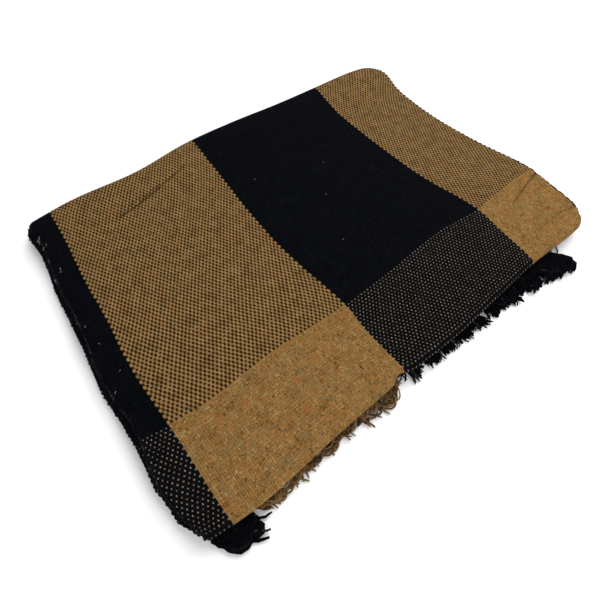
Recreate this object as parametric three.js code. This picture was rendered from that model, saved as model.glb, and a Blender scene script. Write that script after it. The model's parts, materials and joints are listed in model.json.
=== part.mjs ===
// Fringed check blanket, folded in half across and in quarters along, lying flat.
//
// The cloth is one woven sheet. It is folded in half across its width, so that two sheets lie on each
// other and both selvedges come to the left. That double sheet is folded twice along its length, so
// that four levels lie on each other: the middle of the blanket is the near fold of the upper two
// levels, and both fringed ends lie under it. Each fringe is one comb along its end.
//
// Lengths are in millimetres. Flat places on the folded bundle are p, across from the selvedges to the
// folded edge, and q, along from the near fold to the far folds. z is height. The last step, settle(),
// moves these straight places to the uneven ones of the blanket as it lies.

import * as THREE from 'three';

// Cloth as it is cut
const CLOTH_WIDTH = 1270;
const SHEET = 2.4;
const GAP = 0.8;

// Bundle as it is folded
const HALF_WIDTH = CLOTH_WIDTH / 2;
const RUN_LENGTH = 440;
const LEVEL_COUNT = 4;
const SHEET_RISE = (SHEET + GAP) / 2;
const LEVEL_PITCH = 2 * (SHEET + GAP);
const LOWEST_LEVEL = SHEET + GAP / 2;
const FOLD_START = HALF_WIDTH - Math.PI * SHEET_RISE / 2;
const BUNDLE_CENTRE = { x: 310.43, y: 220.03 };

// Fringe
const TASSEL_COUNT = 48;
const TASSEL_LENGTH = 38;
const TASSEL_NECK = 13;
const TASSEL_SKIRT = 19;
const FRINGE_BAND = 5;
const FRINGE_GAP = 0.9;

// Steps that the faces are cut into. Across, the cloth has its stops where tassels start, close to the
// stripes' borders, so that the combs lie on the cloth's own flat faces.
const TASSELS_PER_HALF = TASSEL_COUNT / 2;
const TASSEL_PITCH = HALF_WIDTH / TASSELS_PER_HALF;
const tasselStart = (k) => (k + 0.5) * TASSEL_PITCH - TASSEL_NECK / 2;
const WIDTH_STOPS = [0, ...[1, 2, 4, 8, 12, 16, 18, 19, 20, 23].map(tasselStart), FOLD_START];
const LENGTH_STOPS = [0, 10, 26, 62, 109, 160, 215, 270, 325, 375, 412, RUN_LENGTH];
const FOLD_STEPS = { folded: 4, innerFar: 4, near: 6, outerFar: 8 };

const COLOURS = {
  cloth: 0xa0763e,
  fringe: 0x17181c,
};
const ROUGHNESS = 0.95;

// Where the warp borders run, seen from above: x of each border at q
const WARP_BORDERS = { selvedge: 0, first: 33, second: 261, third: 508, folded: HALF_WIDTH };
const WARP_LINES = [
  { q: 0, selvedge: -17, first: 11, second: 248, third: 498, folded: 635 },
  { q: 60, selvedge: -25, first: 13, second: 247, third: 503, folded: 641 },
  { q: 115, selvedge: -18, first: 12, second: 252, third: 509, folded: 647 },
  { q: 200, selvedge: -15, first: 16, second: 246, third: 496, folded: 631 },
  { q: 285, selvedge: -6, first: 23, second: 249, third: 493, folded: 622 },
  { q: 365, selvedge: 3, first: 32, second: 258, third: 494, folded: 626 },
  { q: 405, selvedge: 7, first: 35, second: 261, third: 498, folded: 637 },
  { q: 440, selvedge: 6, first: 38, second: 264, third: 504, folded: 640 },
];

// Where the weft lines run, seen from above: y of the near fold, the border of the band and the far fold
const WEFT_BORDERS = { near: 0, band: 109, far: RUN_LENGTH };
const WEFT_LINES = [
  { p: 0, near: 9, band: 121, far: 451 },
  { p: 70, near: 2, band: 111, far: 456 },
  { p: 160, near: 4, band: 113, far: 452 },
  { p: 250, near: 3, band: 107, far: 462 },
  { p: 340, near: -1, band: 108, far: 461 },
  { p: 430, near: 1, band: 112, far: 455 },
  { p: 510, near: 3, band: 104, far: 452 },
  { p: 585, near: -1, band: 107, far: 450 },
  { p: HALF_WIDTH, near: -1, band: 106, far: 443 },
];

// How full the pile lies, along and across: 1 is the plain height of its sheets
const FULLNESS_ALONG = [
  { q: -60, rise: 0.5 },
  { q: -28, rise: 0.66 },
  { q: -6, rise: 0.95 },
  { q: 25, rise: 1.06 },
  { q: 109, rise: 1.05 },
  { q: 210, rise: 0.97 },
  { q: 300, rise: 0.94 },
  { q: 375, rise: 0.96 },
  { q: 425, rise: 1.12 },
  { q: 455, rise: 1.06 },
];
const FULLNESS_ACROSS = [
  { p: 0, rise: 0.88 },
  { p: 60, rise: 0.95 },
  { p: 250, rise: 1 },
  { p: 400, rise: 1.01 },
  { p: 560, rise: 1.04 },
  { p: HALF_WIDTH, rise: 0.98 },
];

// Levels from the top: how far the edges of each stand out, and how far its fringed end is drawn in
const LEVELS = [
  { level: 1, firstSelvedge: 0, lastSelvedge: 3, foldedEdge: 0, wave: 0 },
  { level: 2, firstSelvedge: 5, lastSelvedge: 2, foldedEdge: 1.5, wave: 0.3 },
  { level: 3, firstSelvedge: 4, lastSelvedge: 7, foldedEdge: 2.5, wave: 0.55 },
  { level: 4, firstSelvedge: 6, lastSelvedge: 4, foldedEdge: 1, wave: 0.8 },
];
const EDGE_REACH = 110;

// The loose edges stand out most beside the near left corner
const LOOSENESS = [
  { q: 0, share: 0.1 },
  { q: 11, share: 0.3 },
  { q: 24, share: 1.2 },
  { q: 42, share: 0.9 },
  { q: 62, share: 1.1 },
  { q: 80, share: 0.8 },
  { q: 110, share: 1 },
  { q: 440, share: 1 },
];
const EDGE_WAVE = { height: 1.4, length: 150, lastHalfTurn: 0.5 };
const UPPER_FRINGED_LEVEL = 3;
const LOWER_FRINGED_LEVEL = 4;
const FRINGED_ENDS = [
  { p: 0, level3: 1, level4: 4, right: 6 },
  { p: 28, level3: -1, level4: 3, right: 4 },
  { p: 44, level3: 18, level4: 20, right: 2 },
  { p: 58, level3: 12, level4: 14, right: 0 },
  { p: 90, level3: 11, level4: 13, right: 0 },
  { p: 150, level3: 10, level4: 13, right: 0 },
  { p: 200, level3: 9, level4: 12, right: 0 },
  { p: 240, level3: 5, level4: 11, right: 0 },
  { p: 290, level3: 18, level4: 20, right: 0 },
  { p: 330, level3: 20, level4: 22, right: 0 },
  { p: 400, level3: 15, level4: 18, right: 5 },
  { p: 450, level3: 12, level4: 18, right: 20 },
  { p: 480, level3: 3, level4: 8, right: 38 },
  { p: 497, level3: -2, level4: 4, right: 49 },
  { p: 516, level3: 36, level4: 40, right: 49 },
  { p: 532, level3: 44, level4: 46, right: 42 },
  { p: 560, level3: 46, level4: 48, right: 28 },
  { p: 600, level3: 46, level4: 48, right: 10 },
  { p: HALF_WIDTH, level3: 46, level4: 48, right: 0 },
];
const END_REACH = 170;

// Fringe swept sideways past the near fold: how far its tips lie to the right
const SWEEP = [
  { p: 0, right: 6 },
  { p: 14, right: 6 },
  { p: 24, right: 20 },
  { p: 34, right: 31 },
  { p: 42, right: 28 },
  { p: 54, right: 16 },
  { p: 75, right: 6 },
  { p: 240, right: 2 },
  { p: 340, right: 8 },
  { p: 440, right: 12 },
  { p: 480, right: 32 },
  { p: 508, right: 44 },
  { p: 540, right: 30 },
  { p: HALF_WIDTH, right: 6 },
];
const SWEEP_START = -8;
const SWEEP_FULL = -40;

// Corners of the bundle are round
const CORNERS = [
  { p: 0, q: 0, radius: 8 },
  { p: HALF_WIDTH, q: 0, radius: 30 },
  { p: HALF_WIDTH, q: RUN_LENGTH, radius: 28 },
  { p: 0, q: RUN_LENGTH, radius: 10 },
];
const NOTCH = { p: 254, halfWidth: 10, depth: 7, reach: 30 };

// A cubic curve through the rows of a table, level in slope past its ends
function throughRows(at, values, where) {
  const last = at.length - 1;
  if (where <= at[0]) return values[0];
  if (where >= at[last]) return values[last];
  let i = 0;
  while (where > at[i + 1]) i += 1;
  const slope = (k) => {
    const low = Math.max(k - 1, 0);
    const high = Math.min(k + 1, last);
    return (values[high] - values[low]) / (at[high] - at[low]);
  };
  const span = at[i + 1] - at[i];
  const t = (where - at[i]) / span;
  const keep = (1 + 2 * t) * (1 - t) * (1 - t);
  const leave = t * (1 - t) * (1 - t) * span;
  const arrive = t * t * (t - 1) * span;
  return keep * values[i] + (1 - keep) * values[i + 1] + leave * slope(i) + arrive * slope(i + 1);
}

function column(rows, by, name, where) {
  return throughRows(rows.map((row) => row[by]), rows.map((row) => row[name]), where);
}

function ease(t) {
  const s = THREE.MathUtils.clamp(t, 0, 1);
  return s * s * (3 - 2 * s);
}

// Height of a level's middle, level 1 on top
function levelHeight(level) {
  return LOWEST_LEVEL + (LEVEL_COUNT - level) * LEVEL_PITCH;
}

// A value that belongs to a level, or between two levels where one folds into the other
function ofLevels(from, to, share, value) {
  const soft = ease(share);
  return value(LEVELS[from - 1]) * (1 - soft) + value(LEVELS[to - 1]) * soft;
}

// Moves a straight place on the bundle to where it lies: the plan's lines, the loose edges, the fringed
// ends that are drawn in, the round corners, the sweep of the fringe and the fullness of the pile
function settle({ p, q, z, isLastHalf, from, to, share }) {
  const borders = Object.keys(WARP_BORDERS);
  const lines = Object.keys(WEFT_BORDERS);
  const inQ = THREE.MathUtils.clamp(q, 0, RUN_LENGTH);
  const inP = THREE.MathUtils.clamp(p, 0, HALF_WIDTH);
  const xs = borders.map((name) => column(WARP_LINES, 'q', name, inQ));
  const ys = lines.map((name) => column(WEFT_LINES, 'p', name, inP));
  let x = throughRows(borders.map((name) => WARP_BORDERS[name]), xs, inP) + (p - inP);
  let y = throughRows(lines.map((name) => WEFT_BORDERS[name]), ys, inQ) + (q - inQ);

  const selvedgeName = isLastHalf ? 'lastSelvedge' : 'firstSelvedge';
  const nearSelvedge = ease(1 - inP / EDGE_REACH);
  const nearFold = ease(1 - (HALF_WIDTH - inP) / EDGE_REACH);
  const wave = ofLevels(from, to, share, (row) => Math.sin(
    2 * Math.PI * (inQ / EDGE_WAVE.length + row.wave + (isLastHalf ? EDGE_WAVE.lastHalfTurn : 0))));
  const loose = column(LOOSENESS, 'q', 'share', inQ);
  const standOut = loose * ofLevels(from, to, share, (row) => row[selvedgeName]);
  x -= nearSelvedge * (standOut + EDGE_WAVE.height * wave);
  x += nearFold * ofLevels(from, to, share, (row) => row.foldedEdge);

  const atEnd = ease(1 - inQ / END_REACH);
  const isFringed = (row) => (row.level >= UPPER_FRINGED_LEVEL ? 1 : 0);
  const drawnIn = (row) => (isFringed(row) ? column(FRINGED_ENDS, 'p', `level${row.level}`, inP) : 0);
  y += atEnd * ofLevels(from, to, share, drawnIn);
  x += atEnd * ofLevels(from, to, share, isFringed) * column(FRINGED_ENDS, 'p', 'right', inP);

  for (const corner of CORNERS) {
    const towardsP = corner.p > 0 ? 1 : -1;
    const towardsQ = corner.q > 0 ? 1 : -1;
    const pastP = Math.max(corner.radius - Math.abs(corner.p - inP), 0);
    const pastQ = Math.max(corner.radius - Math.abs(corner.q - inQ), 0);
    if (pastP === 0 || pastQ === 0) continue;
    const drawn = 1 - Math.max(pastP, pastQ) / Math.hypot(pastP, pastQ);
    x -= towardsP * pastP * drawn;
    y -= towardsQ * pastQ * drawn;
  }
  const beside = (inP - NOTCH.p) / NOTCH.halfWidth;
  y += NOTCH.depth * Math.exp(-beside * beside) * ease(1 - inQ / NOTCH.reach);

  x += column(SWEEP, 'p', 'right', inP) * ease((q - SWEEP_START) / (SWEEP_FULL - SWEEP_START));
  const rise = column(FULLNESS_ALONG, 'q', 'rise', q) * column(FULLNESS_ACROSS, 'p', 'rise', inP);
  return [x - BUNDLE_CENTRE.x, y - BUNDLE_CENTRE.y, z * rise];
}

// Stops across the double sheet, from the first selvedge over the folded edge to the last selvedge:
// p in the middle of the sheet, its height over the level's middle, and the way its face looks
function acrossStops(flatStops) {
  const stops = flatStops.map((p) => ({ p, up: SHEET_RISE, lookP: 0, lookUp: 1, isLastHalf: false }));
  for (let i = 1; i < FOLD_STEPS.folded; i += 1) {
    const turn = Math.PI * i / FOLD_STEPS.folded;
    stops.push({
      p: FOLD_START + SHEET_RISE * Math.sin(turn),
      up: SHEET_RISE * Math.cos(turn),
      lookP: Math.sin(turn),
      lookUp: Math.cos(turn),
      isLastHalf: turn > Math.PI / 2,
    });
  }
  for (const p of [...flatStops].reverse()) {
    stops.push({ p, up: -SHEET_RISE, lookP: 0, lookUp: -1, isLastHalf: true });
  }
  return stops;
}

// Stops along a level, from its near end or, where it runs back, from its far end. outQ and outZ are the
// way that the first half of the sheet lies from the level's middle. Ends that a fold makes are left out.
function runStops(level, { isBack, afterFold, beforeFold }) {
  const outZ = isBack ? -1 : 1;
  const z = levelHeight(level);
  const stops = LENGTH_STOPS.map((q) => ({ q, z, outQ: 0, outZ, from: level, to: level, share: 0 }));
  if (isBack) stops.reverse();
  return stops.slice(afterFold ? 1 : 0, beforeFold ? -1 : undefined);
}

// Stops around a fold between two levels, on the far side or, with side -1, on the near side
function foldStops({ from, to, q, side, steps }) {
  const middle = (levelHeight(from) + levelHeight(to)) / 2;
  const radius = Math.abs(levelHeight(from) - levelHeight(to)) / 2;
  const start = levelHeight(from) > middle ? 1 : -1;
  const isOutside = start * side > 0;
  const stops = [];
  for (let i = 0; i <= steps; i += 1) {
    const turn = Math.PI * i / steps;
    const awayQ = side * Math.sin(turn);
    const awayZ = start * Math.cos(turn);
    const look = isOutside ? 1 : -1;
    stops.push({
      q: q + radius * awayQ,
      z: middle + radius * awayZ,
      outQ: look * awayQ,
      outZ: look * awayZ,
      from,
      to,
      share: i / steps,
    });
  }
  return stops;
}

// The whole way of the double sheet, from the upper fringed end to the lower one
const ALONG_STOPS = [
  ...runStops(3, { beforeFold: true }),
  ...foldStops({ from: 3, to: 2, q: RUN_LENGTH, side: 1, steps: FOLD_STEPS.innerFar }),
  ...runStops(2, { isBack: true, afterFold: true, beforeFold: true }),
  ...foldStops({ from: 2, to: 1, q: 0, side: -1, steps: FOLD_STEPS.near }),
  ...runStops(1, { afterFold: true, beforeFold: true }),
  ...foldStops({ from: 1, to: 4, q: RUN_LENGTH, side: 1, steps: FOLD_STEPS.outerFar }),
  ...runStops(4, { isBack: true, afterFold: true }),
];

// A point on one face of the sheet: face is 1 on the outer face of the first half, -1 on the inner one
function facePoint(across, along, face) {
  const lift = across.up + across.lookUp * face * SHEET / 2;
  return settle({
    p: across.p + across.lookP * face * SHEET / 2,
    q: along.q + along.outQ * lift,
    z: along.z + along.outZ * lift,
    isLastHalf: across.isLastHalf,
    from: along.from,
    to: along.to,
    share: along.share,
  });
}

// The same point on the straight line between the cloth's own stops, so that a piece with closer stops
// follows the cloth's flat faces
function pointBetweenStops(across, along, face) {
  if (across.lookP > 0) return facePoint(across, along, face);
  let i = 0;
  while (i < WIDTH_STOPS.length - 2 && across.p > WIDTH_STOPS[i + 1]) i += 1;
  const low = WIDTH_STOPS[i];
  const share = (across.p - low) / (WIDTH_STOPS[i + 1] - low);
  const start = facePoint({ ...across, p: low }, along, face);
  const end = facePoint({ ...across, p: WIDTH_STOPS[i + 1] }, along, face);
  return start.map((value, k) => value + share * (end[k] - value));
}

// One closed body over the cells of a grid that are kept: both faces, and a wall along every open side
function closedSheet(columns, rows, point, isKept = () => true) {
  const positions = [];
  const numbers = new Map();
  const corner = (i, j, face) => {
    const key = `${i},${j},${face}`;
    if (!numbers.has(key)) {
      numbers.set(key, positions.length / 3);
      positions.push(...point(i, j, face));
    }
    return numbers.get(key);
  };
  const faces = [];
  const four = (a, b, c, d) => faces.push(a, b, c, a, c, d);
  const kept = (i, j) => i >= 0 && j >= 0 && i < columns && j < rows && isKept(i, j);
  for (let i = 0; i < columns; i += 1) {
    for (let j = 0; j < rows; j += 1) {
      if (!kept(i, j)) continue;
      four(corner(i, j, 1), corner(i + 1, j, 1), corner(i + 1, j + 1, 1), corner(i, j + 1, 1));
      four(corner(i, j, -1), corner(i, j + 1, -1), corner(i + 1, j + 1, -1), corner(i + 1, j, -1));
      const sides = [
        { i: i - 1, j, a: [i, j + 1], b: [i, j] },
        { i: i + 1, j, a: [i + 1, j], b: [i + 1, j + 1] },
        { i, j: j - 1, a: [i, j], b: [i + 1, j] },
        { i, j: j + 1, a: [i + 1, j + 1], b: [i, j + 1] },
      ];
      for (const side of sides) {
        if (kept(side.i, side.j)) continue;
        four(corner(...side.a, 1), corner(...side.a, -1), corner(...side.b, -1), corner(...side.b, 1));
      }
    }
  }
  const geometry = new THREE.BufferGeometry();
  geometry.setAttribute('position', new THREE.Float32BufferAttribute(positions, 3));
  geometry.setIndex(faces);
  geometry.computeVertexNormals();
  return geometry;
}

function clothGeometry() {
  const across = acrossStops(WIDTH_STOPS);
  return closedSheet(across.length - 1, ALONG_STOPS.length - 1,
    (i, j, face) => facePoint(across[i], ALONG_STOPS[j], face));
}

// One comb: a band along the fringed end with a tassel at every pitch. Each tassel widens to its tip.
// Cells across are band, tassel, band and so on from both selvedges, with the folded edge between.
function fringeGeometry(level) {
  const isFirstEnd = level === UPPER_FRINGED_LEVEL;
  const starts = Array.from({ length: TASSELS_PER_HALF }, (_, k) => tasselStart(k));
  const flat = [0, ...starts.flatMap((p) => [p, p + TASSEL_NECK]), FOLD_START];
  const across = acrossStops(flat);
  const cells = across.length - 1;
  const isTassel = (i) => {
    const fromSelvedge = Math.min(i, cells - 1 - i);
    return fromSelvedge % 2 === 1 && fromSelvedge < 2 * TASSELS_PER_HALF;
  };
  const along = [0, FRINGE_BAND, TASSEL_LENGTH];
  const rows = along.length - 1;
  const sign = isFirstEnd ? 1 : -1;
  const point = (i, row, face) => {
    const stop = across[i];
    const isSide = isTassel(i) || isTassel(i - 1);
    const widening = row === rows && isSide ? (TASSEL_SKIRT - TASSEL_NECK) / 2 : 0;
    const spread = isTassel(i) === stop.isLastHalf ? widening : -widening;
    return pointBetweenStops({ ...stop, p: stop.p + spread }, {
      q: -FRINGE_GAP - along[row],
      z: levelHeight(level),
      outQ: 0,
      outZ: sign,
      from: level,
      to: level,
      share: 0,
    }, face);
  };
  const rowOf = (j) => (isFirstEnd ? rows - j : j);
  const isBand = (j) => (isFirstEnd ? j === rows - 1 : j === 0);
  const isKept = (i, j) => isBand(j) || isTassel(i);
  return closedSheet(cells, rows, (i, j, face) => point(i, rowOf(j), face), isKept);
}

function addMesh(group, name, geometry, colour) {
  const material = new THREE.MeshStandardMaterial({ color: colour, roughness: ROUGHNESS, metalness: 0 });
  const mesh = new THREE.Mesh(geometry, material);
  mesh.name = name;
  group.add(mesh);
}

const blanket = new THREE.Group();
addMesh(blanket, 'blanket_cloth', clothGeometry(), COLOURS.cloth);
addMesh(blanket, 'fringe_upper', fringeGeometry(UPPER_FRINGED_LEVEL), COLOURS.fringe);
addMesh(blanket, 'fringe_lower', fringeGeometry(LOWER_FRINGED_LEVEL), COLOURS.fringe);

export default blanket;
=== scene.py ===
"""Makes a folded woven blanket with fringed ends, in metres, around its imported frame.

The blanket is one flat sheet of plain weave. u runs across it from the first selvedge, v along it
from the end that lies on the third level, both in millimetres. Folded, p runs across the bundle from
the selvedges and q along it from the near fold. on_cloth() carries a flat place (u, v) and a height
over the middle of the sheet to where it lies on the bundle, so the cloth, its selvedges, its fringe
and what lies on it all follow the same folds.
"""

import json
import math

import bmesh
import bpy
import numpy as np
from mathutils import Matrix, Vector

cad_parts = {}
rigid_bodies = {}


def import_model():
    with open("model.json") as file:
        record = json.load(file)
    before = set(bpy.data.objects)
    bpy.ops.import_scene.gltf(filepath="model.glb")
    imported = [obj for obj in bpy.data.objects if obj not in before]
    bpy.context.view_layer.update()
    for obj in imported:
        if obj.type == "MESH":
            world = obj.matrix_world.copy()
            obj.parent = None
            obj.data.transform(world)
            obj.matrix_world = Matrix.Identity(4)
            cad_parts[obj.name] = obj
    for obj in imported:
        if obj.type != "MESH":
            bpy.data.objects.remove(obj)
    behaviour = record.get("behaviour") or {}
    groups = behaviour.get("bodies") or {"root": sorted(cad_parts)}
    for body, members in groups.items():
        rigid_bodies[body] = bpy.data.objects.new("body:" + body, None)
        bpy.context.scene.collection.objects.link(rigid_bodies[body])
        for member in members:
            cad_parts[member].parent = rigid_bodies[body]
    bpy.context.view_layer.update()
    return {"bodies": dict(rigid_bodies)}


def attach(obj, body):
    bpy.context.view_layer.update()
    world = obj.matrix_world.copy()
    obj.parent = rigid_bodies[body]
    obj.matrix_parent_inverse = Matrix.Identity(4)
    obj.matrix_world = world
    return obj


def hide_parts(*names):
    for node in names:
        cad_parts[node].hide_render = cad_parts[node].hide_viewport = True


bl_info = {
    "name": "Folded fringed blanket",
    "version": (1, 0, 0),
    "blender": (4, 5, 0),
    "location": "3D View > Sidebar > Blanket",
    "description": "Makes a folded woven blanket with fringed ends around its packed frame",
    "category": "Add Mesh",
}

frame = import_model()
BODY = next(iter(frame["bodies"]))

MM = 0.001

# Cloth as it is cut, in millimetres
CLOTH_WIDTH = 1270.0
SHEET = 2.4
GAP = 0.8

# Bundle as it is folded
HALF_WIDTH = CLOTH_WIDTH / 2
RUN_LENGTH = 440.0
LEVEL_COUNT = 4
SHEET_RISE = (SHEET + GAP) / 2
LEVEL_PITCH = 2 * (SHEET + GAP)
LOWEST_LEVEL = SHEET + GAP / 2
FOLD_START = HALF_WIDTH - math.pi * SHEET_RISE / 2
BUNDLE_CENTRE = (310.43, 220.03)


def table(names, *rows):
    """A table's columns by name, from one row of numbers for each place."""
    return dict(zip(names.split(), np.array(rows, float).T))


# Where the warp borders run, seen from above: x of each border at q
WARP_BORDERS = (0.0, 33.0, 261.0, 508.0, HALF_WIDTH)
WARP_LINES = table(
    "q selvedge first second third folded",
    (0, -17, 11, 248, 498, 635),
    (60, -25, 13, 247, 503, 641),
    (115, -18, 12, 252, 509, 647),
    (200, -15, 16, 246, 496, 631),
    (285, -6, 23, 249, 493, 622),
    (365, 3, 32, 258, 494, 626),
    (405, 7, 35, 261, 498, 637),
    (440, 6, 38, 264, 504, 640),
)

# Where the weft lines run, seen from above: y of the near fold, the band's border and the far fold
WEFT_BORDERS = (0.0, 109.0, RUN_LENGTH)
WEFT_LINES = table(
    "p near band far",
    (0, 9, 121, 451),
    (70, 2, 111, 456),
    (160, 4, 113, 452),
    (250, 3, 107, 462),
    (340, -1, 108, 461),
    (430, 1, 112, 455),
    (510, 3, 104, 452),
    (585, -1, 107, 450),
    (HALF_WIDTH, -1, 106, 443),
)

# How full the pile lies, along and across: 1 is the plain height of its sheets
FULLNESS_ALONG = table(
    "q rise",
    (-60, 0.5),
    (-28, 0.66),
    (-6, 0.95),
    (25, 1.06),
    (109, 1.05),
    (210, 0.97),
    (300, 0.94),
    (375, 0.96),
    (425, 1.12),
    (455, 1.06),
)
FULLNESS_ACROSS = table(
    "p rise",
    (0, 0.88),
    (60, 0.95),
    (250, 1.0),
    (400, 1.01),
    (560, 1.04),
    (HALF_WIDTH, 0.98),
)

# Levels from the top: how far the edges of each stand out
LEVELS = table(
    "first_selvedge last_selvedge folded_edge wave",
    (0, 3, 0, 0),
    (5, 2, 1.5, 0.3),
    (4, 7, 2.5, 0.55),
    (6, 4, 1, 0.8),
)
EDGE_REACH = 110.0

# The loose edges stand out most beside the near left corner
LOOSENESS = table(
    "q share",
    (0, 0.1),
    (11, 0.3),
    (24, 1.2),
    (42, 0.9),
    (62, 1.1),
    (80, 0.8),
    (110, 1),
    (440, 1),
)
EDGE_WAVE_HEIGHT = 1.4
EDGE_WAVE_LENGTH = 150.0
LAST_HALF_TURN = 0.5

# How far the fringed ends, on levels 3 and 4, are drawn in under the near fold
FRINGED_ENDS = table(
    "p third fourth right",
    (0, 1, 4, 6),
    (28, -1, 3, 4),
    (44, 18, 20, 2),
    (58, 12, 14, 0),
    (90, 11, 13, 0),
    (150, 10, 13, 0),
    (200, 9, 12, 0),
    (240, 5, 11, 0),
    (290, 18, 20, 0),
    (330, 20, 22, 0),
    (400, 15, 18, 5),
    (450, 12, 18, 20),
    (480, 3, 8, 38),
    (497, -2, 4, 49),
    (516, 36, 40, 49),
    (532, 44, 46, 42),
    (560, 46, 48, 28),
    (600, 46, 48, 10),
    (HALF_WIDTH, 46, 48, 0),
)
END_REACH = 170.0

# Fringe swept sideways past the near fold: how far its tips lie to the right
SWEEP = table(
    "p right",
    (0, 6),
    (14, 6),
    (24, 20),
    (34, 31),
    (42, 28),
    (54, 16),
    (75, 6),
    (240, 2),
    (340, 8),
    (440, 12),
    (480, 32),
    (508, 44),
    (540, 30),
    (HALF_WIDTH, 6),
)
SWEEP_START = -8.0
SWEEP_FULL = -40.0

# Corners of the bundle are round, and the near fold has one small notch
CORNERS = (
    {"p": 0, "q": 0, "radius": 8},
    {"p": HALF_WIDTH, "q": 0, "radius": 30},
    {"p": HALF_WIDTH, "q": RUN_LENGTH, "radius": 28},
    {"p": 0, "q": RUN_LENGTH, "radius": 10},
)
NOTCH = {"p": 254, "half_width": 10, "depth": 7, "reach": 30}

# The way of the double sheet: the levels that it runs on and folds between, from its first end to its
# last. A run has the same level twice. side is 1 for a fold on the far side, -1 on the near side.
WAY = (
    {"from": 3, "to": 3, "is_back": False},
    {"from": 3, "to": 2, "side": 1},
    {"from": 2, "to": 2, "is_back": True},
    {"from": 2, "to": 1, "side": -1},
    {"from": 1, "to": 1, "is_back": False},
    {"from": 1, "to": 4, "side": 1},
    {"from": 4, "to": 4, "is_back": True},
)

# Steps that the cloth is cut into: closer on the top level, which shows most
STEPS_ACROSS = {"first_half": 168, "fold": 10, "last_half": 34}
STEPS_ALONG = {"top": 112, "hidden": 20, "small_fold": 9, "large_fold": 15}
EDGE_STEPS = 3
MERGE_DISTANCE = 1e-6
TINY = 1e-9

# Stripes, by distance from the middle of the cloth across and from the middle of its near fold along
WARP_STRIPES = (127.0, 374.0, 602.0)
WEFT_STRIPES = (114.0, 639.0, 867.0)

# Fringe: the warp's own ends, gathered in tassels. OFF_STRANDS is a direction that no strand runs in
TASSEL_COUNT = 48
STRANDS_PER_TASSEL = 12
STRAND_SIDES = 6
STRAND_STEPS = 15
OFF_STRANDS = (0.31, 0.17, 0.94)

# How the tassels lie along the near fold: length, how far their strands close up, how far they curl
# round to the left, in radians, how many of them turn back as loops, how thick their strands are, and
# how far they stray from each other
TASSEL_HABITS = table(
    "p length closing curl loops thickness stray",
    (0, 0.75, 0.5, 0.1, 0.9, 2.6, 0.8),
    (8, 1.4, 0.5, 0.1, 0.9, 2.6, 0.8),
    (20, 1.45, 0.5, 0, 0.9, 2.6, 0.8),
    (33, 1.3, 0.4, -0.2, 0.85, 2.6, 0.8),
    (35, 0.6, 0.4, -0.3, 0.7, 2.0, 0.8),
    (52, 0.6, 0.3, 0, 0.85, 1.4, 1),
    (55, 1.2, 0.3, 0, 0.85, 1.4, 1),
    (225, 1.2, 0.3, 0, 0.85, 1.35, 1),
    (245, 1.0, 0.3, 0, 0.9, 0.9, 1),
    (262, 0.85, 0.4, 0, 0.7, 0.9, 1),
    (270, 0.85, 0.75, 0.1, 0.2, 1.3, 0.8),
    (300, 1.0, 0.75, 0.1, 0.2, 1.4, 0.8),
    (420, 1.05, 0.75, 0.2, 0.2, 1.4, 0.7),
    (450, 1.15, 0.5, 0.5, 0.1, 2.0, 0.45),
    (490, 1.35, 0.35, 1.0, 0.05, 2.5, 0.35),
    (508, 1.35, 0.35, 1.0, 0.05, 2.5, 0.35),
    (510, 0.25, 0.4, 0, 0.5, 1.0, 1),
    (HALF_WIDTH, 0.25, 0.4, 0, 0.5, 1.0, 1),
)

# How unlike tassels are, and the strands of one. A pair of spreads is for tassels and for strands
TASSEL_SHIFT = 1.5
TASSEL_GAP = 1.5
LENGTH_SPREAD = 0.1
SHORTER = (-0.05, 0.2)
CURL_RANGE = (-0.3, 0.2)
CURL_SPREAD = (0.35, 0.3)
HEADING_SPREAD = (0.16, 0.14)
THICKNESS_RANGE = (0.85, 1.15)

# How a strand runs, in millimetres, radians and shares of its length: it starts inside the cloth,
# curls or turns back, is crimped by the weave, and drops to the floor on a bed of other strands
ROOT_DEPTH = 1.5
LOOP_TURN = 3.3
LOOP_TURN_RANGE = (0.8, 1.25)
LOOP_FROM = 0.3
CURL_POWER = 1.7
CLOSING_PACE = 1.3
CUT_END_SHARE = 0.68
CRIMP_HEIGHT = 0.45
CRIMP_LENGTH = 7.9
CRIMP_GROWTH = 6
TIP_FROM = 0.85
TIP_TAPER = 0.4
BED_RANGE = (1.0, 5.5)
BED_SINK = 0.3
BED_WAVE = 0.8
BED_WAVE_GROWTH = 12
BED_WAVE_LENGTH = 6.5
DROP_FROM = 3
DROP_LENGTH = 20

# Edges, in millimetres: turns of the weft round the selvedges, a cord that wanders along each, and
# floats round the folded edge. A span is a share of the pitch, a width here a share of a loose strand's
SELVEDGE_PITCH = 5.2
SELVEDGE_SHIFT = 0.4
SELVEDGE_REACH = (1.0, 2.4)
SELVEDGE_ROOT = 0.5
SELVEDGE_SPAN = 0.4
SELVEDGE_SPREAD = 0.3
SELVEDGE_WIDTH = 0.84
CORD_STEPS = 520
CORD_THICKNESS = 2.0
CORD_INSET = 0.4
CORD_WANDER = {"aside": 0.25, "aside_length": 9.0, "height": 0.35, "rise": 0.2, "rise_length": 5.3}
FLOAT_PITCH = 7.9
FLOAT_SHIFT = 0.35
FLOAT_REACH = 2.8
FLOAT_SPREAD = 0.5
FLOAT_RISE = (0.5, 1.1)
FLOAT_SUNK = 0.5
FLOAT_WIDTH = 1.2
FLOAT_STEPS = 7
EDGE_SEED = 7

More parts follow.
